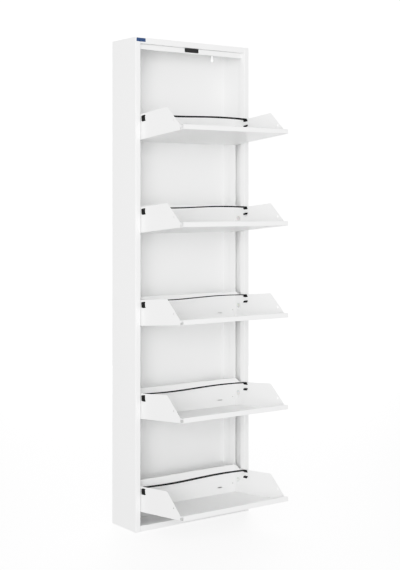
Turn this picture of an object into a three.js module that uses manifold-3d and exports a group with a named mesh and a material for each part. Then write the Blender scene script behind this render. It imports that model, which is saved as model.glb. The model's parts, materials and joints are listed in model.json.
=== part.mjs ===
// Slim sheet-steel shoe cabinet with five tilt-out flaps, shown with every flap open.
// Millimetres, +Z up, +X to the right and +Y to the rear, seen from the front.
// The origin is the middle of the footprint, on the floor.

import * as THREE from 'three';
import { mergeVertices } from 'three/addons/utils/BufferGeometryUtils.js';
import Module from 'manifold-3d';

const wasm = await Module();
wasm.setup();

// ---- Driving dimensions: sheet metal ----
const WIDTH = 500;
const DEPTH = 155;
const HEIGHT = 1725;
const SHEET = 0.8;
const FOLD_RADIUS = 1.4; // middle of the sheet, at every fold
const FOLD_STEPS = 3; // flats in the arc of a fold
const SLIGHT_TURN = 0.2; // radians, below which a corner needs no arc
const GAP = 0.3; // between pieces that touch
const OVERCUT = 1; // how far a cut runs past the edge it opens
const MERGE_DISTANCE = 1e-4;

// ---- Driving dimensions: carcass ----
const STILE_WIDTH = 20;
const STILE_RETURN = 24; // the stile's flange, folded towards the rear
const REAR_FLANGE = 15;
const RAIL_HEIGHT = 20;
const RAIL_RETURN = 30;
const STOP_RECESS = 17;
const STOP_HEIGHT = 18;
const STOP_FOOT = 8;
const BEARING_RAIL_SPACING = 472; // between the two faces that carry the pivot pins
const BEARING_RAIL = { front: 63, rear: 97, weldFlange: 14, abovePivot: 30 };
const TONGUE = { front: 25, halfHeight: 16 }; // of the rail, forward to each pivot
const KEYHOLE_INSET = 56;
const KEYHOLE_BELOW_TOP = 36;
const KEYHOLE_HEAD_RADIUS = 5.5;
const KEYHOLE_NECK_WIDTH = 6;
const KEYHOLE_RISE = 13;
const NAME_PLATE = { width: 60, height: 14.5, thickness: 1.5, corner: 1.5 };
const LABEL = { width: 38, height: 13, thickness: 0.4, inset: 3, belowTop: 2 };

// ---- Driving dimensions: flaps ----
const FLAP_COUNT = 5;
const FLAP_PITCH = 325;
const FINGER_GAP = 16; // between closed flaps
const FLAP_SIDE_CLEARANCE = 4;
const PIVOT_BEHIND_FACE = 33;
const PIVOT_ABOVE_EDGE = 21;
const OPEN_ANGLE = THREE.MathUtils.degToRad(84.8);
const LIP_DEPTH = 16;
const LIP_HEIGHT = 20;
const LIP_HEM = 7;
const FOOT_FLANGE = 12;
const SHELF_DEPTH = 100;
const SHELF_HEM = 10;
const SHELF_TURN_UP = 14; // against the door
const SIDE_DEPTH = 88; // of the flap's side plates
const SIDE_EAR_HEIGHT = 16; // where they reach back over the ends of the shelf
const SIDE_EAR_TOP = 34;
const SIDE_CORNER_HEIGHT = 219;
const SIDE_NOSE_HEIGHT = 287;
const SIDE_NOSE_LAND = 2; // what stands proud of the lip there
const SIDE_ROUNDING = { ear: 3, neck: 6, corner: 12, nose: 4 };

// ---- Driving dimensions: small pieces ----
const ROUND_SIDES = 12;
const CURVE_STEPS = 5;
const PIN_RADIUS = 4;
const PIN_HEAD = { radius: 5.5, height: 2, chamfer: 0.8 };
const PIN_COLLAR_RADIUS = 6.5;
const BUMPER = { inward: 49.4, up: 27.2, neck: 2.6, radius: 4, reach: 6.8, chamfer: 1 };
const BUMPER_CAP = { radius: 8, height: 5, edge: 1, dish: 5, depth: 2.6, foot: 6, undercut: 1.6 };
const STRAP = { width: 20, thickness: 3.4, bend: 1.8, up: 72, span: 86.5, high: 80.5, low: 63, slack: 2.6 };
const STRAP_TAIL = { inset: 4.2, length: 1.2, droop: 5 };
const STRAP_SPAN_STEPS = 14;
const STRAP_SLOT = { length: 23, width: 5 };
const SIDE_HOLE = { inward: 37, up: 254, radius: 4 };
const JIG_HOLE = { inward: 14.7, up: 41.6, radius: 1.6 };
const SHELF_SLOT = { length: 20, width: 5, inset: 72, inward: 25 };
const SHELF_HOLE = { size: 4.6, inset: 11, inward: 33.5 };

// ---- Worked out from the dimensions above ----
const FRONT = -DEPTH / 2;
const REAR = DEPTH / 2;
const OPENING_HALF = WIDTH / 2 - STILE_WIDTH;
const FLAP_LENGTH = FLAP_PITCH - FINGER_GAP;
const FLAP_HALF = OPENING_HALF - FLAP_SIDE_CLEARANCE;
const TOP_FLAP_HEAD = HEIGHT - RAIL_HEIGHT - STOP_HEIGHT;
const REAR_FLANGE_Y = REAR - SHEET - GAP - SHEET / 2;
const BEARING_HALF = BEARING_RAIL_SPACING / 2;
const LIP_FOOT = FLAP_LENGTH - LIP_HEIGHT;
const SHELF_UP = 1.5 * SHEET + GAP;

const powderCoat = new THREE.MeshStandardMaterial({ color: 0xf6f6f5, roughness: 0.45, metalness: 0 });
const elastic = new THREE.MeshStandardMaterial({ color: 0x0b0b0c, roughness: 0.85, metalness: 0 });
const blackPlate = new THREE.MeshStandardMaterial({ color: 0x0d0d0e, roughness: 0.4, metalness: 0 });
const whiteNylon = new THREE.MeshStandardMaterial({ color: 0xdedfdd, roughness: 0.5, metalness: 0 });
const labelFilm = new THREE.MeshStandardMaterial({ color: 0x1d3a63, roughness: 0.4, metalness: 0 });

const point = (x, y) => new THREE.Vector2(x, y);

// ---- Solids: three.js geometry to manifold-3d and back ----

function toSolid(geometry) {
  const bare = geometry.clone();
  bare.deleteAttribute('normal');
  bare.deleteAttribute('uv');
  const merged = mergeVertices(bare, MERGE_DISTANCE);
  const vertProperties = new Float32Array(merged.attributes.position.array);
  const triVerts = new Uint32Array(merged.index.array);
  return new wasm.Manifold(new wasm.Mesh({ numProp: 3, vertProperties, triVerts }));
}

function toGeometry(solid) {
  const mesh = solid.getMesh();
  const geometry = new THREE.BufferGeometry();
  geometry.setAttribute('position', new THREE.Float32BufferAttribute(mesh.vertProperties, 3));
  geometry.setIndex(Array.from(mesh.triVerts));
  geometry.computeVertexNormals();
  return geometry;
}

function cut(geometry, tools) {
  const solid = tools.reduce((rest, tool) => rest.subtract(toSolid(tool)), toSolid(geometry));
  return toGeometry(solid);
}

function boxBetween(low, high) {
  const size = high.map((value, axis) => value - low[axis]);
  const geometry = new THREE.BoxGeometry(...size);
  return geometry.translate(...low.map((value, axis) => value + size[axis] / 2));
}

function rodAlongX(radius, fromX, toX, y, z) {
  const geometry = new THREE.CylinderGeometry(radius, radius, toX - fromX, ROUND_SIDES);
  return geometry.rotateZ(Math.PI / 2).translate((fromX + toX) / 2, y, z);
}

// ---- Folded sheet ----

// Points and normals along the middle of a strip, with an arc in place of each sharp corner.
function foldedLine(corners, radius) {
  const line = [];
  const turnRight = (direction) => point(direction.y, -direction.x);
  const add = (place, direction) => line.push({ place, normal: turnRight(direction) });
  const directions = corners.slice(1).map((end, i) => end.clone().sub(corners[i]).normalize());
  add(corners[0], directions[0]);
  for (let i = 1; i < corners.length - 1; i += 1) {
    const before = directions[i - 1];
    const after = directions[i];
    const turn = Math.atan2(before.cross(after), before.dot(after));
    if (Math.abs(turn) < SLIGHT_TURN) {
      add(corners[i], before.clone().add(after).normalize());
      continue;
    }
    const tangent = radius * Math.tan(Math.abs(turn) / 2);
    const start = corners[i].clone().addScaledVector(before, -tangent);
    const toCentre = turnRight(before).multiplyScalar(-Math.sign(turn) * radius);
    const centre = start.clone().add(toCentre);
    for (let k = 0; k <= FOLD_STEPS; k += 1) {
      const angle = (turn * k) / FOLD_STEPS;
      const place = start.clone().rotateAround(centre, angle);
      add(place, before.clone().rotateAround(point(0, 0), angle));
    }
  }
  add(corners.at(-1), directions.at(-1));
  return line;
}

function foldedShape(corners, thickness = SHEET, radius = FOLD_RADIUS) {
  const line = foldedLine(corners, radius);
  const side = (offset) => line.map(({ place, normal }) => place.clone().addScaledVector(normal, offset));
  return new THREE.Shape([...side(thickness / 2), ...side(-thickness / 2).reverse()]);
}

// An outline whose corners are [x, y, radius], each rounded by its own radius.
function roundedShape(corners) {
  const shape = new THREE.Shape();
  corners.forEach(([x, y, radius], i) => {
    const corner = point(x, y);
    const towards = (other) => point(other[0], other[1]).sub(corner).normalize();
    const before = towards(corners.at(i - 1));
    const after = towards(corners[(i + 1) % corners.length]);
    const reach = radius / Math.tan(before.angleTo(after) / 2);
    const start = corner.clone().addScaledVector(before, reach);
    const end = corner.clone().addScaledVector(after, reach);
    if (i === 0) shape.moveTo(start.x, start.y);
    else shape.lineTo(start.x, start.y);
    if (radius > 0) shape.quadraticCurveTo(x, y, end.x, end.y);
  });
  return shape;
}

function extruded(shape, length) {
  return new THREE.ExtrudeGeometry(shape, {
    depth: length,
    bevelEnabled: false,
    curveSegments: CURVE_STEPS,
  });
}

// A plan outline, raised from one height to another.
function raised(shape, fromZ, toZ) {
  return extruded(shape, toZ - fromZ).translate(0, 0, fromZ);
}

// A side outline drawn with y and z, drawn out across the width.
function acrossWidth(shape, fromX, toX) {
  const yAxis = new THREE.Vector3(0, 1, 0);
  const zAxis = new THREE.Vector3(0, 0, 1);
  const xAxis = new THREE.Vector3(1, 0, 0);
  const turned = new THREE.Matrix4().makeBasis(yAxis, zAxis, xAxis);
  return extruded(shape, toX - fromX).applyMatrix4(turned).translate(fromX, 0, 0);
}

// A front outline drawn with x and z, drawn out from one depth to another.
function acrossDepth(shape, fromY, toY) {
  return extruded(shape, toY - fromY).rotateX(Math.PI / 2).translate(0, toY, 0);
}

// A slot with round ends, upright in its outline.
function slotHole(centre, length, width) {
  const radius = width / 2;
  const rise = length / 2 - radius;
  const hole = new THREE.Path();
  hole.absarc(centre.x, centre.y + rise, radius, Math.PI, 0, true);
  hole.absarc(centre.x, centre.y - rise, radius, 0, -Math.PI, true);
  hole.closePath();
  return hole;
}

function roundHole(centre, radius) {
  return new THREE.Path().absarc(centre.x, centre.y, radius, 0, 2 * Math.PI, true);
}

function named(name, geometry, material) {
  const mesh = new THREE.Mesh(geometry, material);
  mesh.name = name;
  return mesh;
}

// ---- Carcass ----

// One side: wall, front stile with its return flange, and rear flange, in one sheet.
function sidePanel(sign) {
  const wall = sign * (WIDTH / 2 - SHEET / 2);
  const stileEdge = sign * (OPENING_HALF + SHEET / 2);
  const corners = [
    point(sign * (WIDTH / 2 - REAR_FLANGE), REAR_FLANGE_Y),
    point(wall, REAR_FLANGE_Y),
    point(wall, FRONT + SHEET / 2),
    point(stileEdge, FRONT + SHEET / 2),
    point(stileEdge, FRONT + STILE_RETURN),
  ];
  const shape = foldedShape(sign > 0 ? corners : corners.reverse());
  return raised(shape, SHEET + GAP, HEIGHT - SHEET - GAP);
}

function keyhole(centreX) {
  const centreZ = HEIGHT - KEYHOLE_BELOW_TOP;
  const neck = KEYHOLE_NECK_WIDTH / 2;
  const opening = Math.asin(neck / KEYHOLE_HEAD_RADIUS);
  const hole = new THREE.Path();
  hole.absarc(centreX, centreZ, KEYHOLE_HEAD_RADIUS, Math.PI / 2 - opening, Math.PI / 2 + opening, true);
  hole.absarc(centreX, centreZ + KEYHOLE_RISE, neck, Math.PI, 0, true);
  hole.closePath();
  return hole;
}

function backPanel() {
  const half = WIDTH / 2;
  const shape = new THREE.Shape([point(-half, 0), point(half, 0), point(half, HEIGHT), point(-half, HEIGHT)]);
  for (const sign of [-1, 1]) {
    shape.holes.push(keyhole(sign * (half - KEYHOLE_INSET)));
  }
  return acrossDepth(shape, REAR - SHEET, REAR);
}

// The top or bottom of the carcass: a plate with a front rail that fits between the stiles.
function endPanel(outerZ, inwards) {
  const at = (y, distance) => point(y, outerZ + inwards * distance);
  const corners = [
    at(REAR_FLANGE_Y, REAR_FLANGE),
    at(REAR_FLANGE_Y, SHEET / 2),
    at(FRONT + SHEET / 2, SHEET / 2),
    at(FRONT + SHEET / 2, RAIL_HEIGHT - SHEET / 2),
    at(FRONT + RAIL_RETURN, RAIL_HEIGHT - SHEET / 2),
  ];
  const plate = acrossWidth(foldedShape(corners), -WIDTH / 2, WIDTH / 2);
  const inner = outerZ + inwards * SHEET;
  const beyond = outerZ + inwards * (RAIL_HEIGHT + OVERCUT);
  const notch = (fromX, toX) => {
    const low = [fromX, FRONT - OVERCUT, Math.min(inner, beyond)];
    const high = [toX, REAR, Math.max(inner, beyond)];
    return boxBetween(low, high);
  };
  const clear = OPENING_HALF - GAP;
  const beside = WIDTH / 2 + OVERCUT;
  return cut(plate, [notch(-beside, -clear), notch(clear, beside)]);
}

// The strip behind the finger gap of the top flap, hung under the top rail's return.
function stopStrip() {
  const hang = HEIGHT - RAIL_HEIGHT - GAP - SHEET / 2;
  const foot = HEIGHT - RAIL_HEIGHT - STOP_HEIGHT;
  const face = FRONT + STOP_RECESS + SHEET / 2;
  const shape = foldedShape([
    point(FRONT + RAIL_RETURN, hang),
    point(face, hang),
    point(face, foot + SHEET / 2),
    point(face + STOP_FOOT, foot + SHEET / 2),
  ]);
  return acrossWidth(shape, -OPENING_HALF + GAP, OPENING_HALF - GAP);
}

// A folded rail up each side, with a tongue forward at each pivot that carries the pivot pin.
function bearingRail(sign) {
  const { front, rear, weldFlange, abovePivot } = BEARING_RAIL;
  const face = sign * (BEARING_HALF + SHEET / 2);
  const wall = sign * (WIDTH / 2 - 1.5 * SHEET - GAP);
  const corners = [
    point(face, FRONT + TONGUE.front),
    point(face, FRONT + rear),
    point(wall, FRONT + rear),
    point(wall, FRONT + rear + weldFlange),
  ];
  const pivots = flapNumbers().map(pivotHeight).reverse();
  const top = pivots.at(-1) + abovePivot;
  const rail = raised(foldedShape(corners), SHEET + GAP, top);
  const reach = [face - 2 * SHEET, face + 2 * SHEET];
  const tongueEnds = pivots.flatMap((height) => [height - TONGUE.halfHeight, height + TONGUE.halfHeight]);
  const notchEnds = [0, ...tongueEnds, top + OVERCUT];
  const tools = pivots.map((height) => (
    rodAlongX(PIN_RADIUS + GAP, ...reach, FRONT + PIVOT_BEHIND_FACE, height)
  ));
  for (let i = 0; i < notchEnds.length; i += 2) {
    const low = [reach[0], FRONT + TONGUE.front - OVERCUT, notchEnds[i]];
    const high = [reach[1], FRONT + front, notchEnds[i + 1]];
    tools.push(boxBetween(low, high));
  }
  return cut(rail, tools);
}

function namePlate() {
  const { width, height, thickness, corner } = NAME_PLATE;
  const middle = HEIGHT - RAIL_HEIGHT - 2 * GAP - height / 2;
  const shape = roundedShape([
    [-width / 2, middle - height / 2, corner],
    [width / 2, middle - height / 2, corner],
    [width / 2, middle + height / 2, corner],
    [-width / 2, middle + height / 2, corner],
  ]);
  const back = FRONT + STOP_RECESS - GAP;
  return acrossDepth(shape, back - thickness, back);
}

function railLabel() {
  const { width, height, thickness, inset, belowTop } = LABEL;
  const left = inset - WIDTH / 2;
  const bottom = HEIGHT - belowTop - height;
  const front = FRONT - GAP - thickness;
  return boxBetween([left, front, bottom], [left + width, front + thickness, bottom + height]);
}

// A turned piece on the X axis. The profile is [distance from the middle, radius] pairs.
function turned(profile, sign) {
  const ends = [[profile[0][0], 0], ...profile, [profile.at(-1)[0], 0]];
  const points = ends.map(([distance, radius]) => point(radius, distance));
  return new THREE.LatheGeometry(points, ROUND_SIDES).rotateZ((-sign * Math.PI) / 2);
}

function pivotPin(sign) {
  const plateInside = FLAP_HALF - SHEET - GAP;
  const plateOutside = FLAP_HALF + GAP;
  const bearingInside = BEARING_HALF - GAP;
  const bearingOutside = BEARING_HALF + SHEET + GAP;
  const { radius, height, chamfer } = PIN_HEAD;
  return turned([
    [plateInside - height, radius - chamfer],
    [plateInside - height + chamfer, radius],
    [plateInside, radius],
    [plateInside, PIN_RADIUS],
    [plateOutside, PIN_RADIUS],
    [plateOutside, PIN_COLLAR_RADIUS],
    [bearingInside, PIN_COLLAR_RADIUS],
    [bearingInside, PIN_RADIUS],
    [bearingOutside, PIN_RADIUS],
    [bearingOutside, radius],
    [bearingOutside + height, radius - chamfer],
  ], sign);
}

// ---- Flap, in its closed position with the pivot axis at the origin ----

// A place on a flap: how far inward from its outer face, and how far up from its bottom edge.
function onFlap(inward, up) {
  return point(inward - PIVOT_BEHIND_FACE, up - PIVOT_ABOVE_EDGE);
}

// The door: outer sheet, foot flange below, and the hollow lip above that fingers pull.
function flapDoor() {
  const skin = SHEET / 2;
  const shape = foldedShape([
    onFlap(FOOT_FLANGE, skin),
    onFlap(skin, skin),
    onFlap(skin, FLAP_LENGTH - skin),
    onFlap(LIP_DEPTH - skin, FLAP_LENGTH - skin),
    onFlap(LIP_DEPTH - skin, LIP_FOOT + skin),
    onFlap(LIP_DEPTH - LIP_HEM, LIP_FOOT + skin),
  ]);
  return acrossWidth(shape, -FLAP_HALF, FLAP_HALF);
}

// The shelf that shoes stand on when the flap is closed, and lean on when it is open.
function flapShelf() {
  const half = FLAP_HALF - SHEET - GAP;
  const front = SHEET + GAP + SHEET / 2;
  const shape = foldedShape([
    onFlap(front, SHELF_UP + SHELF_TURN_UP),
    onFlap(front, SHELF_UP),
    onFlap(SHELF_DEPTH, SHELF_UP),
    onFlap(SHELF_DEPTH, SHELF_UP - SHELF_HEM),
  ]);
  const opening = (sign, inset, inward, length, width) => {
    const middle = sign * (FLAP_HALF - inset);
    const centre = onFlap(inward, SHELF_UP);
    const low = [middle - length / 2, centre.x - width / 2, centre.y - SHEET];
    const high = [middle + length / 2, centre.x + width / 2, centre.y + SHEET];
    return boxBetween(low, high);
  };
  const openings = [-1, 1].flatMap((sign) => [
    opening(sign, SHELF_SLOT.inset, SHELF_SLOT.inward, SHELF_SLOT.length, SHELF_SLOT.width),
    opening(sign, SHELF_HOLE.inset, SHELF_HOLE.inward, SHELF_HOLE.size, SHELF_HOLE.size),
  ]);
  return cut(acrossWidth(shape, -half, half), openings);
}

// A side plate, with holes for the pivot pin, the bumper and the strap, and two small round ones.
function flapSide(sign) {
  const edge = SHEET + GAP;
  const corners = [
    [edge, edge, 0],
    [SHELF_DEPTH, edge, 0],
    [SHELF_DEPTH, SIDE_EAR_HEIGHT, SIDE_ROUNDING.ear],
    [SIDE_DEPTH, SIDE_EAR_TOP, SIDE_ROUNDING.neck],
    [SIDE_DEPTH, SIDE_CORNER_HEIGHT, SIDE_ROUNDING.corner],
    [LIP_DEPTH + SIDE_NOSE_LAND, SIDE_NOSE_HEIGHT, SIDE_ROUNDING.nose],
    [edge, SIDE_NOSE_HEIGHT, 0],
  ].map(([inward, up, radius]) => [...onFlap(inward, up).toArray(), radius]);
  const shape = roundedShape(corners);
  const rounds = [
    { inward: PIVOT_BEHIND_FACE, up: PIVOT_ABOVE_EDGE, radius: PIN_RADIUS + GAP },
    { ...BUMPER, radius: BUMPER.neck + GAP },
    SIDE_HOLE,
    JIG_HOLE,
  ];
  for (const { inward, up, radius } of rounds) {
    shape.holes.push(roundHole(onFlap(inward, up), radius));
  }
  for (const inward of [STRAP.high, STRAP.low]) {
    shape.holes.push(slotHole(onFlap(inward, STRAP.up), STRAP_SLOT.length, STRAP_SLOT.width));
  }
  const outer = sign * FLAP_HALF;
  const inner = sign * (FLAP_HALF - SHEET);
  return acrossWidth(shape, Math.min(outer, inner), Math.max(outer, inner));
}

// The strap's line at one end, from its span: down inside the plate, out through the upper slot,
// down outside, and in through the lower slot to a short drooping tail.
function strapEnd(sign) {
  const depth = (inward) => inward - PIVOT_BEHIND_FACE;
  const inside = FLAP_HALF - SHEET - 2 * GAP - STRAP.thickness / 2;
  const outside = FLAP_HALF + GAP + STRAP.thickness / 2;
  const tail = FLAP_HALF - STRAP_TAIL.inset;
  return [
    point(sign * inside, depth(STRAP.span)),
    point(sign * inside, depth(STRAP.high)),
    point(sign * outside, depth(STRAP.high)),
    point(sign * outside, depth(STRAP.low)),
    point(sign * tail, depth(STRAP.low)),
    point(sign * (tail - STRAP_TAIL.length), depth(STRAP.low - STRAP_TAIL.droop)),
  ];
}

// The elastic strap. Its span is a little slack, and waves by a few millimetres.
function flapStrap() {
  const corners = strapEnd(-1).reverse();
  for (let i = 1; i < STRAP_SPAN_STEPS; i += 1) {
    const across = (2 * i) / STRAP_SPAN_STEPS - 1;
    const wave = STRAP.slack * Math.sin(Math.PI * across);
    corners.push(point(across * FLAP_HALF, STRAP.span - PIVOT_BEHIND_FACE + wave));
  }
  corners.push(...strapEnd(1));
  const shape = foldedShape(corners, STRAP.thickness, STRAP.bend);
  const middle = STRAP.up - PIVOT_ABOVE_EDGE;
  return raised(shape, middle - STRAP.width / 2, middle + STRAP.width / 2);
}

// The bumper that stops the open flap against the rear edge of the stile's return flange.
function flapBumper(sign) {
  const inside = FLAP_HALF - SHEET - GAP;
  const outside = FLAP_HALF + GAP;
  const { radius, height, edge, dish, depth, foot, undercut } = BUMPER_CAP;
  const geometry = turned([
    [inside - height + depth, dish - edge],
    [inside - height, dish],
    [inside - height, radius - edge],
    [inside - height + edge, radius],
    [inside - undercut, radius],
    [inside - undercut, foot],
    [inside, foot],
    [inside, BUMPER.neck],
    [outside, BUMPER.neck],
    [outside, BUMPER.radius],
    [outside + BUMPER.reach - BUMPER.chamfer, BUMPER.radius],
    [outside + BUMPER.reach, BUMPER.radius - BUMPER.chamfer],
  ], sign);
  const centre = onFlap(BUMPER.inward, BUMPER.up);
  return geometry.translate(0, centre.x, centre.y);
}

// ---- Assembly ----

function flapNumbers() {
  return Array.from({ length: FLAP_COUNT }, (_, i) => i + 1);
}

// Flap 1 is at the top.
function pivotHeight(number) {
  return TOP_FLAP_HEAD - FLAP_LENGTH - FLAP_PITCH * (number - 1) + PIVOT_ABOVE_EDGE;
}

function carcass() {
  const group = new THREE.Group();
  group.add(
    named('left_side_panel', sidePanel(-1), powderCoat),
    named('right_side_panel', sidePanel(1), powderCoat),
    named('back_panel', backPanel(), powderCoat),
    named('top_panel', endPanel(HEIGHT, -1), powderCoat),
    named('bottom_panel', endPanel(0, 1), powderCoat),
    named('top_stop_strip', stopStrip(), powderCoat),
    named('left_bearing_rail', bearingRail(-1), powderCoat),
    named('right_bearing_rail', bearingRail(1), powderCoat),
    named('name_plate', namePlate(), blackPlate),
    named('rail_label', railLabel(), labelFilm),
  );
  return group;
}

function pivotPins(number) {
  const group = new THREE.Group();
  group.position.set(0, FRONT + PIVOT_BEHIND_FACE, pivotHeight(number));
  group.add(named(`left_pivot_pin_${number}`, pivotPin(-1), powderCoat));
  group.add(named(`right_pivot_pin_${number}`, pivotPin(1), powderCoat));
  return group;
}

function flap(number) {
  const group = new THREE.Group();
  group.position.set(0, FRONT + PIVOT_BEHIND_FACE, pivotHeight(number));
  group.rotation.x = OPEN_ANGLE;
  group.add(
    named(`flap_${number}_door`, flapDoor(), powderCoat),
    named(`flap_${number}_shelf`, flapShelf(), powderCoat),
    named(`flap_${number}_left_side`, flapSide(-1), powderCoat),
    named(`flap_${number}_right_side`, flapSide(1), powderCoat),
    named(`flap_${number}_strap`, flapStrap(), elastic),
    named(`flap_${number}_left_bumper`, flapBumper(-1), whiteNylon),
    named(`flap_${number}_right_bumper`, flapBumper(1), whiteNylon),
  );
  return group;
}

const cabinet = new THREE.Group();
cabinet.add(carcass());
for (const number of flapNumbers()) {
  cabinet.add(pivotPins(number), flap(number));
}

export default cabinet;
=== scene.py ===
"""Looks of a slim sheet-steel shoe cabinet with five tilt-out flaps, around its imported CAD."""

import json
import math

import bpy
from mathutils import Matrix, Vector


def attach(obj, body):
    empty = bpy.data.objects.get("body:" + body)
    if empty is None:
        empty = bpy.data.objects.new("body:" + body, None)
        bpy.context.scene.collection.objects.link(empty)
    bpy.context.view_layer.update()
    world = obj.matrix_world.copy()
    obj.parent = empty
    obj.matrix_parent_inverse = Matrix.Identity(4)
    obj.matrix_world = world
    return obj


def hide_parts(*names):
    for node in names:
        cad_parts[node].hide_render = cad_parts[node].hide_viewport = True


SIDES = {"left": -1, "right": 1}

# ---- Camera: level, in front and to the left, with the horizon above the middle of the frame ----
CAMERA_PLACE = (-2.4301, -3.4785, 1.1432)
CAMERA_YAW = math.radians(35.835)
CAMERA_LENS = 73.27
CAMERA_SENSOR = 36
CAMERA_SHIFT_UP = -0.142
CAMERA_REACH = 50

# ---- Studio: a white backdrop, an even fill, and soft boxes (place, aim, size, power) ----
BACKDROP_STRENGTH = 1.35
FILL_STRENGTH = 0.46
FLOOR_GLOW = 0.31
FLOOR_GLOW_SEEN = 0.79
FLOOR_GREY = 0.25
FLOOR_GREY_SEEN = 0.50
FLOOR_ROUGHNESS = 0.6
FLOOR_RADIUS = 4.0
FLOOR_SIDES = 96
SOFT_BOXES = {
    "front_box": ((-4.5, -6.0, 1.2), (0, 0, 0.85), (4.0, 4.0), 318),
    "high_box": ((-2.2, -3.4, 3.8), (0, -0.15, 0.7), (3.0, 3.0), 34),
    "left_box": ((-4.0, -1.2, 1.2), (0, 0, 0.85), (2.4, 2.4), 22),
    "rear_box": ((2.5, 3.5, 1.6), (0, 0, 0.85), (3.0, 3.0), 60),
}

# A high-key tone curve: (light, what is shown), both linear, up to the light that shows as white.
TONE_WHITE = 1.3
TONE_CURVE = [(0.30, 0.33), (0.55, 0.60), (0.68, 0.745), (0.76, 0.805), (0.83, 0.838)]
TONE_CURVE += [(0.90, 0.862), (0.97, 0.886), (1.05, 0.92), (1.18, 0.97)]
ALL_CHANNELS = 3

# ---- Materials: a value goes from its low to its high end over this stretch of a noise ----
NOISE_LOW = 0.3
NOISE_HIGH = 0.7

# ---- CAD nodes: how their split vertices, folds and sharp edges are treated ----
WELD_DISTANCE = 0.00001
EDGE_RADIUS = 0.00022
EDGE_SEGMENTS = 2
EDGE_ANGLE = math.radians(50)
FOLD_ANGLE = math.radians(36)

# ---- Flap, in metres: inward from its outer face, up from its bottom edge, when it is closed ----
PIVOT_INWARD = 0.033
PIVOT_UP = 0.021
FLAP_HALF_WIDTH = 0.226
BEARING_HALF = 0.236
SHEET = 0.0008
GAP = 0.0003

# ---- Elastic strap: its span, high and low lines are inward from the flap's outer face ----
STRAP_WIDTH = 0.020
STRAP_THICKNESS = 0.0034
STRAP_UP = 0.072
STRAP_SPAN = 0.0865
STRAP_HIGH = 0.0805
STRAP_LOW = 0.063
STRAP_SLACK = 0.0026
STRAP_BEND = 0.0018
STRAP_TAIL_INSET = 0.0042
STRAP_TAIL_LENGTH = 0.0012
STRAP_TAIL_DROOP = 0.005
STRAP_RIBS = 10
STRAP_RIB_DEPTH = 0.00018
STRAP_EDGE = 0.0012
STRAP_EDGE_LOSS = 0.45
STRAP_FACE_SHARE = 0.985
STRAP_STEPS_PER_RIB = 4
STRAP_SPANS = 28
STRAP_STEP = 0.003
STRAP_ARC_STEP = 0.15
STRAP_SHARP_ANGLE = math.radians(60)

# ---- Pins and bumpers: small turned pieces ----
TURNED_SIDES = 48
TURNED_SHARP_ANGLE = math.radians(40)
PIN_RADIUS = 0.004
PIN_HEAD_RADIUS = 0.0055
PIN_COLLAR_RADIUS = 0.0065
PIN_CRIMP_STRAIGHT = 0.0012
PIN_CRIMP_LENGTH = 0.002
PIN_CRIMP_CHAMFER = 0.0008
BUMPER_INWARD = 0.0494
BUMPER_UP = 0.0272
BUMPER_NECK = 0.0026
BUMPER_RADIUS = 0.004
BUMPER_REACH = 0.0068
CAP_RADIUS = 0.008
CAP_HEIGHT = 0.005
CAP_HUB = 0.0012
CAP_DISH = 0.005
CAP_DEPTH = 0.0026
CAP_FOOT = 0.006
CAP_UNDERCUT = 0.0016

# The pin head's dome, from its middle: (height above the flap's plate, share of the head's radius).
PIN_DOME = [(0.0021, 0.35), (0.0018, 0.65), (0.0013, 0.88), (0.0006, 1)]

# Roundings of the bumper, each a list of (distance from its end, what is added to the radius).
DISH_WALL = [(CAP_DEPTH, -0.0014), (CAP_DEPTH - 0.0004, -0.0009), (0.0004, -0.0002), (0, 0.0003)]
CAP_EDGE = [(0, -0.0012), (0.0004, -0.0003), (0.0012, 0)]
DRUM_EDGE = [(0.001, 0), (0.0003, -0.0003), (0, -0.001)]


# ---- Meshes ----


def mesh_object(name, vertices, faces, material):
    """A smoothly shaded object in the scene."""
    mesh = bpy.data.meshes.new(name)
    mesh.from_pydata([tuple(v) for v in vertices], [], faces)
    mesh.validate()
    mesh.update()
    mesh.shade_smooth()
    mesh.materials.append(material)
    piece = bpy.data.objects.new(name, mesh)
    bpy.context.scene.collection.objects.link(piece)
    return piece


def turned(name, profile, place, sign, material):
    """A turned piece on the X axis. Its profile is (distance from the middle, radius) pairs."""
    vertices = [(sign * profile[0][0], 0, 0)]
    for distance, radius in profile:
        for k in range(TURNED_SIDES):
            angle = 2 * math.pi * k / TURNED_SIDES
            spot = (sign * distance, radius * math.cos(angle), radius * math.sin(angle))
            vertices.append(spot)
    vertices.append((sign * profile[-1][0], 0, 0))
    last = len(vertices) - 1
    faces = []
    for k in range(TURNED_SIDES):
        after = (k + 1) % TURNED_SIDES
        faces.append((0, 1 + after, 1 + k))
        for ring in range(len(profile) - 1):
            low = 1 + ring * TURNED_SIDES
            high = low + TURNED_SIDES
            faces.append((low + k, low + after, high + after, high + k))
        faces.append((last, last - TURNED_SIDES + k, last - TURNED_SIDES + after))
    if sign < 0:
        faces = [tuple(reversed(face)) for face in faces]
    piece = mesh_object(name, [place @ Vector(v) for v in vertices], faces, material)
    piece.data.set_sharp_from_angle(angle=TURNED_SHARP_ANGLE)
    return piece


# ---- Materials ----


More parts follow.
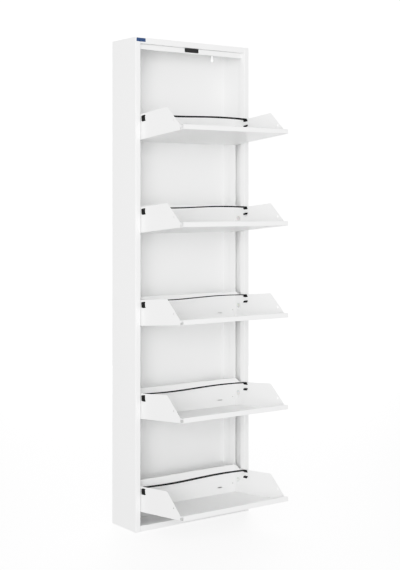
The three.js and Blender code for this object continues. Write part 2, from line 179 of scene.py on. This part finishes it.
class Nodes:
    """A material under construction: its shader, and shorthand for adding nodes."""

    def __init__(self, name):
        self.material = bpy.data.materials.new(name)
        self.material.use_nodes = True
        self.tree = self.material.node_tree
        self.shader = self.tree.nodes["Principled BSDF"]
        self.coordinates = self.add("ShaderNodeTexCoord")

    def add(self, kind, **settings):
        node = self.tree.nodes.new(kind)
        for key, value in settings.items():
            setattr(node, key, value)
        return node

    def link(self, output, target):
        self.tree.links.new(output, target)

    def noise(self, scale, detail):
        node = self.add("ShaderNodeTexNoise")
        node.inputs["Scale"].default_value = scale
        node.inputs["Detail"].default_value = detail
        self.link(self.coordinates.outputs["Object"], node.inputs["Vector"])
        return node.outputs["Fac"]

    def ranged(self, value, low, high, start=NOISE_LOW, end=NOISE_HIGH):
        node = self.add("ShaderNodeMapRange")
        node.inputs["From Min"].default_value = start
        node.inputs["From Max"].default_value = end
        node.inputs["To Min"].default_value = low
        node.inputs["To Max"].default_value = high
        self.link(value, node.inputs["Value"])
        return node.outputs["Result"]

    def blended(self, value, low_colour, high_colour, start=NOISE_LOW, end=NOISE_HIGH):
        node = self.add("ShaderNodeMix", data_type="RGBA")
        colours = [s for s in node.inputs if s.type == "RGBA"]
        colours[0].default_value = (*low_colour, 1)
        colours[1].default_value = (*high_colour, 1)
        self.link(self.ranged(value, 0, 1, start, end), node.inputs["Factor"])
        return next(s for s in node.outputs if s.type == "RGBA")

    def bump(self, height, distance, strength=1.0, before=None):
        node = self.add("ShaderNodeBump")
        node.inputs["Distance"].default_value = distance
        node.inputs["Strength"].default_value = strength
        self.link(height, node.inputs["Height"])
        if before:
            self.link(before, node.inputs["Normal"])
        return node.outputs["Normal"]

    def to_shader(self, socket, output):
        self.link(output, self.shader.inputs[socket])

    def set_shader(self, **values):
        for socket, value in values.items():
            self.shader.inputs[socket.replace("_", " ")].default_value = value


def powder_coat():
    """Smooth white powder coat: fine orange peel, and a faint unevenness in tone and gloss."""
    made = Nodes("powder_coat")
    colour = made.blended(made.noise(5, 3), (0.928, 0.931, 0.930), (0.944, 0.945, 0.942))
    made.to_shader("Base Color", colour)
    made.to_shader("Roughness", made.ranged(made.noise(35, 4), 0.34, 0.44))
    waves = made.bump(made.noise(260, 1), distance=0.00012, strength=0.5)
    peel = made.bump(made.noise(1100, 2), distance=0.00006, strength=0.5, before=waves)
    made.to_shader("Normal", peel)
    return made.material


def white_nylon():
    """Moulded white nylon: a little light passes into it, and its skin is finely grained."""
    made = Nodes("white_nylon")
    colour = made.blended(made.noise(300, 2), (0.74, 0.74, 0.72), (0.80, 0.80, 0.78))
    made.to_shader("Base Color", colour)
    made.to_shader("Roughness", made.ranged(made.noise(700, 2), 0.38, 0.52))
    made.to_shader("Normal", made.bump(made.noise(3000, 2), distance=0.00002))
    made.set_shader(Subsurface_Weight=0.15, Subsurface_Scale=0.002)
    return made.material


def black_plate():
    """Satin black plastic with a fine moulded grain."""
    made = Nodes("black_plate")
    colour = made.blended(made.noise(400, 2), (0.010, 0.010, 0.011), (0.018, 0.018, 0.019))
    made.to_shader("Base Color", colour)
    made.to_shader("Roughness", made.ranged(made.noise(900, 2), 0.30, 0.42))
    made.to_shader("Normal", made.bump(made.noise(3500, 2), distance=0.00003))
    return made.material


def label_film():
    """Printed vinyl film in plain dark blue, with a slight waviness from its glue."""
    made = Nodes("label_film")
    colour = made.blended(made.noise(250, 2), (0.020, 0.055, 0.16), (0.028, 0.07, 0.19))
    made.to_shader("Base Color", colour)
    made.to_shader("Roughness", made.ranged(made.noise(120, 2), 0.22, 0.34))
    made.to_shader("Normal", made.bump(made.noise(180, 1), distance=0.0001, strength=0.4))
    return made.material


def woven_elastic():
    """Black woven elastic: crosswise weft over lengthwise rubber, dull with a soft sheen."""
    made = Nodes("woven_elastic")
    across = made.add("ShaderNodeTexWave")
    across.wave_type = "BANDS"
    across.bands_direction = "X"
    across.wave_profile = "SIN"
    across.inputs["Scale"].default_value = 520
    across.inputs["Distortion"].default_value = 0.6
    across.inputs["Detail"].default_value = 1
    made.link(made.coordinates.outputs["UV"], across.inputs["Vector"])
    thread = made.noise(2600, 3)
    colour = made.blended(thread, (0.0015, 0.0015, 0.0017), (0.005, 0.005, 0.0055))
    made.to_shader("Base Color", colour)
    made.to_shader("Roughness", made.ranged(thread, 0.72, 0.92))
    weft = made.bump(across.outputs["Fac"], distance=0.00018, strength=0.8)
    fuzz = made.bump(thread, distance=0.0001, strength=0.5, before=weft)
    made.to_shader("Normal", fuzz)
    made.set_shader(Specular_IOR_Level=0.2, Sheen_Weight=0.02, Sheen_Roughness=0.5)
    return made.material


def pale_floor():
    """Seamless white studio floor. It is seen brighter than it lights the cabinet."""
    made = Nodes("pale_floor")
    seen = made.add("ShaderNodeLightPath").outputs["Is Camera Ray"]
    grey = made.blended(seen, (FLOOR_GREY,) * 3, (FLOOR_GREY_SEEN,) * 3, start=0, end=1)
    glow = made.ranged(seen, FLOOR_GLOW, FLOOR_GLOW_SEEN, start=0, end=1)
    made.to_shader("Base Color", grey)
    made.to_shader("Emission Strength", glow)
    made.set_shader(Roughness=FLOOR_ROUGHNESS, Emission_Color=(1, 1, 1, 1))
    return made.material


# ---- Carried-over CAD nodes ----


def smooth_folds(limit):
    """A modifier that shades the arcs of the folds smoothly and keeps every sharper edge crisp."""
    group = bpy.data.node_groups.new("smooth_folds", "GeometryNodeTree")
    group.interface.new_socket("Geometry", in_out="INPUT", socket_type="NodeSocketGeometry")
    group.interface.new_socket("Geometry", in_out="OUTPUT", socket_type="NodeSocketGeometry")
    entry = group.nodes.new("NodeGroupInput")
    leave = group.nodes.new("NodeGroupOutput")
    angle = group.nodes.new("GeometryNodeInputMeshEdgeAngle")
    below = group.nodes.new("FunctionNodeCompare")
    below.data_type = "FLOAT"
    below.operation = "LESS_EQUAL"
    below.inputs["B"].default_value = limit
    faces = group.nodes.new("GeometryNodeSetShadeSmooth")
    faces.domain = "FACE"
    edges = group.nodes.new("GeometryNodeSetShadeSmooth")
    edges.domain = "EDGE"
    group.links.new(entry.outputs["Geometry"], faces.inputs["Geometry"])
    group.links.new(faces.outputs["Geometry"], edges.inputs["Geometry"])
    group.links.new(angle.outputs["Unsigned Angle"], below.inputs["A"])
    group.links.new(below.outputs["Result"], edges.inputs["Shade Smooth"])
    group.links.new(edges.outputs["Geometry"], leave.inputs["Geometry"])
    return group


def finish_node(node, material, folds):
    """Joins the split vertices of a CAD node, breaks its sharp edges and gives it its material."""
    weld = node.modifiers.new("weld", "WELD")
    weld.merge_threshold = WELD_DISTANCE
    bevel = node.modifiers.new("edges", "BEVEL")
    bevel.width = EDGE_RADIUS
    bevel.segments = EDGE_SEGMENTS
    bevel.limit_method = "ANGLE"
    bevel.angle_limit = EDGE_ANGLE
    bevel.harden_normals = False
    smooth = node.modifiers.new("folds", "NODES")
    smooth.node_group = folds
    flat = node.modifiers.new("flats", "WEIGHTED_NORMAL")
    flat.keep_sharp = True
    node.data.materials.clear()
    node.data.materials.append(material)


# ---- Strap ----


def right_of(direction):
    """The unit vector to the right of a unit direction in the plane."""
    return Vector((direction.y, -direction.x))


def turn_between(direction, after):
    """The signed angle from one direction in the plane to the next."""
    across = direction.x * after.y - direction.y * after.x
    return math.atan2(across, direction.dot(after))


def along_line(corners, radius, step):
    """Closely spaced (point, right-hand normal) pairs along a flat line, with arcs at its corners."""
    line = []
    directions = [(b - a).normalized() for a, b in zip(corners, corners[1:])]
    start = corners[0].copy()
    for i, direction in enumerate(directions):
        last = i == len(directions) - 1
        end = corners[i + 1].copy()
        turn = 0.0
        if not last:
            turn = turn_between(direction, directions[i + 1])
            tangent = radius * math.tan(abs(turn) / 2)
            end = corners[i + 1] - direction * tangent
        count = max(1, math.ceil((end - start).length / step))
        for k in range(count):
            line.append((start.lerp(end, k / count), right_of(direction)))
        if last:
            line.append((end, right_of(direction)))
            continue
        arc_steps = max(1, math.ceil(abs(turn) / STRAP_ARC_STEP))
        centre = end - right_of(direction) * math.copysign(radius, turn)
        for k in range(arc_steps):
            spin = Matrix.Rotation(turn * k / arc_steps, 2)
            line.append((centre + spin @ (end - centre), spin @ right_of(direction)))
        start = centre + Matrix.Rotation(turn, 2) @ (end - centre)
    return line


def strap_end(sign):
    """The strap's line at one end: down inside the plate, out, down, in again, and a loose tail."""
    inside = FLAP_HALF_WIDTH - SHEET - 2 * GAP - STRAP_THICKNESS / 2
    outside = FLAP_HALF_WIDTH + GAP + STRAP_THICKNESS / 2
    tail = FLAP_HALF_WIDTH - STRAP_TAIL_INSET
    line = [(inside, STRAP_SPAN), (inside, STRAP_HIGH), (outside, STRAP_HIGH)]
    line += [(outside, STRAP_LOW), (tail, STRAP_LOW)]
    line += [(tail - STRAP_TAIL_LENGTH, STRAP_LOW - STRAP_TAIL_DROOP)]
    return [Vector((sign * x, inward - PIVOT_INWARD)) for x, inward in line]


def strap_corners():
    """The strap's middle line across the flap, with a shallow wave in its slack span."""
    corners = strap_end(-1)[::-1]
    for i in range(1, STRAP_SPANS):
        across = 2 * i / STRAP_SPANS - 1
        wave = STRAP_SLACK * math.sin(math.pi * across)
        corners.append(Vector((across * FLAP_HALF_WIDTH, STRAP_SPAN - PIVOT_INWARD + wave)))
    return corners + strap_end(1)


def strap_section():
    """(across the thickness, across the width) round the strap's section, ribbed on both faces."""
    half = STRAP_WIDTH / 2
    thick = STRAP_THICKNESS / 2
    section = []
    steps = STRAP_RIBS * STRAP_STEPS_PER_RIB
    for face in (1, -1):
        for k in range(steps + 1):
            place = face * half * (1 - 2 * k / steps) * STRAP_FACE_SHARE
            edge = min(1.0, (half - abs(place)) / STRAP_EDGE)
            bow = 1 - math.sqrt(max(0.0, 1 - (1 - edge) ** 2))
            rounding = thick * STRAP_EDGE_LOSS * bow
            rib = STRAP_RIB_DEPTH * (1 - math.cos(2 * math.pi * STRAP_RIBS * k / steps)) / 2
            section.append((face * (thick - rounding - STRAP_RIB_DEPTH + rib), place))
    return section


def strap(number, place, material):
    """An elastic strap: its section swept along its line, with its length as UV for the weave."""
    line = along_line(strap_corners(), STRAP_BEND, STRAP_STEP)
    section = strap_section()
    middle = STRAP_UP - PIVOT_UP
    vertices = []
    for centre, normal in line:
        for thick, wide in section:
            spot = centre + normal * thick
            vertices.append(place @ Vector((spot.x, spot.y, middle + wide)))
    around = len(section)
    faces = []
    for i in range(len(line) - 1):
        for k in range(around):
            a = i * around + k
            b = i * around + (k + 1) % around
            faces.append((a, b, b + around, a + around))
    faces.append(tuple(range(around - 1, -1, -1)))
    faces.append(tuple((len(line) - 1) * around + k for k in range(around)))
    piece = mesh_object(f"strap_{number}", vertices, faces, material)
    lengths = [0.0]
    for (a, _), (b, _) in zip(line, line[1:]):
        lengths.append(lengths[-1] + (b - a).length)
    layer = piece.data.uv_layers.new(name="along")
    for loop in piece.data.loops:
        i, k = divmod(loop.vertex_index, around)
        layer.data[loop.index].uv = (lengths[i], section[k][1])
    piece.data.set_sharp_from_angle(angle=STRAP_SHARP_ANGLE)
    return piece


# ---- Pins and bumpers ----


def pin_profile():
    """A pivot pin: a domed head inside the flap's plate, a collar between, and a crimped end."""
    inside = FLAP_HALF_WIDTH - SHEET - GAP
    outside = FLAP_HALF_WIDTH + GAP
    bearing_inside = BEARING_HALF - GAP
    bearing_outside = BEARING_HALF + SHEET + GAP
    dome = [(inside - height, PIN_HEAD_RADIUS * share) for height, share in PIN_DOME]
    shank = [(inside, PIN_HEAD_RADIUS), (inside, PIN_RADIUS), (outside, PIN_RADIUS)]
    collar = [(outside, PIN_COLLAR_RADIUS), (bearing_inside, PIN_COLLAR_RADIUS)]
    journal = [(bearing_inside, PIN_RADIUS), (bearing_outside, PIN_RADIUS)]
    crimp = [(bearing_outside, PIN_HEAD_RADIUS)]
    crimp += [(bearing_outside + PIN_CRIMP_STRAIGHT, PIN_HEAD_RADIUS)]
    crimp += [(bearing_outside + PIN_CRIMP_LENGTH, PIN_HEAD_RADIUS - PIN_CRIMP_CHAMFER)]
    return dome + shank + collar + journal + crimp


def bumper_profile():
    """A nylon bumper: a dished cap inside the flap's plate, a neck in its hole, and a drum."""
    inside = FLAP_HALF_WIDTH - SHEET - GAP
    outside = FLAP_HALF_WIDTH + GAP
    cap_end = inside - CAP_HEIGHT
    drum_end = outside + BUMPER_REACH
    dish = [(cap_end + CAP_DEPTH, CAP_HUB)]
    dish += [(cap_end + depth, CAP_DISH + added) for depth, added in DISH_WALL]
    edge = [(cap_end + depth, CAP_RADIUS + added) for depth, added in CAP_EDGE]
    foot = [(inside - CAP_UNDERCUT, CAP_RADIUS), (inside - CAP_UNDERCUT, CAP_FOOT)]
    foot += [(inside, CAP_FOOT)]
    neck = [(inside, BUMPER_NECK), (outside, BUMPER_NECK)]
    drum = [(outside, BUMPER_RADIUS)]
    drum += [(drum_end - depth, BUMPER_RADIUS + added) for depth, added in DRUM_EDGE]
    return dish + edge + foot + neck + drum


# ---- Building the looks ----


def slot_of(name):
    """The material slot of a CAD node. Everything but the small pieces is powder-coated sheet."""
    endings = {"plate": "black_plate", "label": "label_film", "strap": "elastic", "bumper": "nylon"}
    return endings.get(name.split("_")[-1], "powder_coat")


def dress_nodes(nodes, materials):
    """Gives every CAD node its edges, its shading and its material."""
    folds = smooth_folds(FOLD_ANGLE)
    for name, node in nodes.items():
        finish_node(node, materials[slot_of(name)], folds)


def dress_flap(joint, materials):
    """A flap's strap and bumpers, drawn as on a closed flap and turned open, and its pins."""
    number = joint["name"].split("_")[1]
    body = joint["child"]
    pivot = Matrix.Translation(joint["pos_m"])
    opened = Matrix.Rotation(math.radians(joint["range_deg"][1]), 4, "X")
    band = strap(number, pivot @ opened, materials["elastic"])
    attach(band, body)
    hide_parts(f"{body}_strap")
    bumper_place = (0, BUMPER_INWARD - PIVOT_INWARD, BUMPER_UP - PIVOT_UP)
    for side, sign in SIDES.items():
        place = pivot @ opened @ Matrix.Translation(bumper_place)
        bumper_name = f"{side}_bumper_{number}"
        bumper = turned(bumper_name, bumper_profile(), place, sign, materials["nylon"])
        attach(bumper, body)
        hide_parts(f"{body}_{side}_bumper")
        pin_name = f"{side}_pin_{number}"
        pin = turned(pin_name, pin_profile(), pivot, sign, materials["powder_coat"])
        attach(pin, "carcass")
        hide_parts(f"{side}_pivot_pin_{number}")


# ---- Studio ----


def studio():
    """A world that looks white but fills the shadows evenly, and a pale round floor."""
    world = bpy.data.worlds.new("studio")
    bpy.context.scene.world = world
    world.use_nodes = True
    tree = world.node_tree
    fill = tree.nodes["Background"]
    fill.inputs["Color"].default_value = (1, 1, 1, 1)
    fill.inputs["Strength"].default_value = FILL_STRENGTH
    backdrop = tree.nodes.new("ShaderNodeBackground")
    backdrop.inputs["Color"].default_value = (1, 1, 1, 1)
    backdrop.inputs["Strength"].default_value = BACKDROP_STRENGTH
    rays = tree.nodes.new("ShaderNodeLightPath")
    mix = tree.nodes.new("ShaderNodeMixShader")
    tree.links.new(rays.outputs["Is Camera Ray"], mix.inputs["Fac"])
    tree.links.new(fill.outputs["Background"], mix.inputs[1])
    tree.links.new(backdrop.outputs["Background"], mix.inputs[2])
    tree.links.new(mix.outputs["Shader"], tree.nodes["World Output"].inputs["Surface"])
    bpy.ops.mesh.primitive_circle_add(vertices=FLOOR_SIDES, radius=FLOOR_RADIUS, fill_type="NGON")
    floor = bpy.context.object
    floor.name = "studio_floor"
    floor.data.materials.append(pale_floor())


def soft_box(name, place, aim, size, power):
    """A rectangular area light at a place, turned towards its aim."""
    light = bpy.data.lights.new(name, "AREA")
    light.shape = "RECTANGLE"
    light.size, light.size_y = size
    light.energy = power
    lamp = bpy.data.objects.new(name, light)
    lamp.location = place
    lamp.rotation_euler = (Vector(aim) - Vector(place)).to_track_quat("-Z", "Y").to_euler()
    bpy.context.scene.collection.objects.link(lamp)


def tone():
    """The high-key tone curve, on all channels together."""
    view = bpy.context.scene.view_settings
    view.view_transform = "Standard"
    view.use_curve_mapping = True
    curve = view.curve_mapping.curves[ALL_CHANNELS]
    for light, shown in TONE_CURVE:
        curve.points.new(light / TONE_WHITE, shown)
    view.curve_mapping.white_level = [TONE_WHITE] * 3
    view.curve_mapping.update()


def camera():
    """The level camera, with its frame shifted down instead of being tilted."""
    data = bpy.data.cameras.new("photo_view")
    data.sensor_width = CAMERA_SENSOR
    data.lens = CAMERA_LENS
    data.shift_y = CAMERA_SHIFT_UP
    data.clip_end = CAMERA_REACH
    eye = bpy.data.objects.new("photo_view", data)
    eye.location = CAMERA_PLACE
    eye.rotation_euler = (math.radians(90), 0, -CAMERA_YAW)
    bpy.context.scene.collection.objects.link(eye)
    bpy.context.scene.camera = eye


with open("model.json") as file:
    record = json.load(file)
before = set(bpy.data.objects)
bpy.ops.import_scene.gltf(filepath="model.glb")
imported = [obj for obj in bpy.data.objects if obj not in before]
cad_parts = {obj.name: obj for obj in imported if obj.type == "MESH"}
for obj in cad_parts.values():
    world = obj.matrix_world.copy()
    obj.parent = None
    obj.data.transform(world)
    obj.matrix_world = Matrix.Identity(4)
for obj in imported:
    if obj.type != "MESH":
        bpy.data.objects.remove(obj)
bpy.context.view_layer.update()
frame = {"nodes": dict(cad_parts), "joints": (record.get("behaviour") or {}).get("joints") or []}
materials = {
    "powder_coat": powder_coat(),
    "elastic": woven_elastic(),
    "black_plate": black_plate(),
    "label_film": label_film(),
    "nylon": white_nylon(),
}
tone()
camera()
studio()
for name, (place, aim, size, power) in SOFT_BOXES.items():
    soft_box(name, place, aim, size, power)
dress_nodes(frame["nodes"], materials)
for tilt in frame["joints"]:
    dress_flap(tilt, materials)
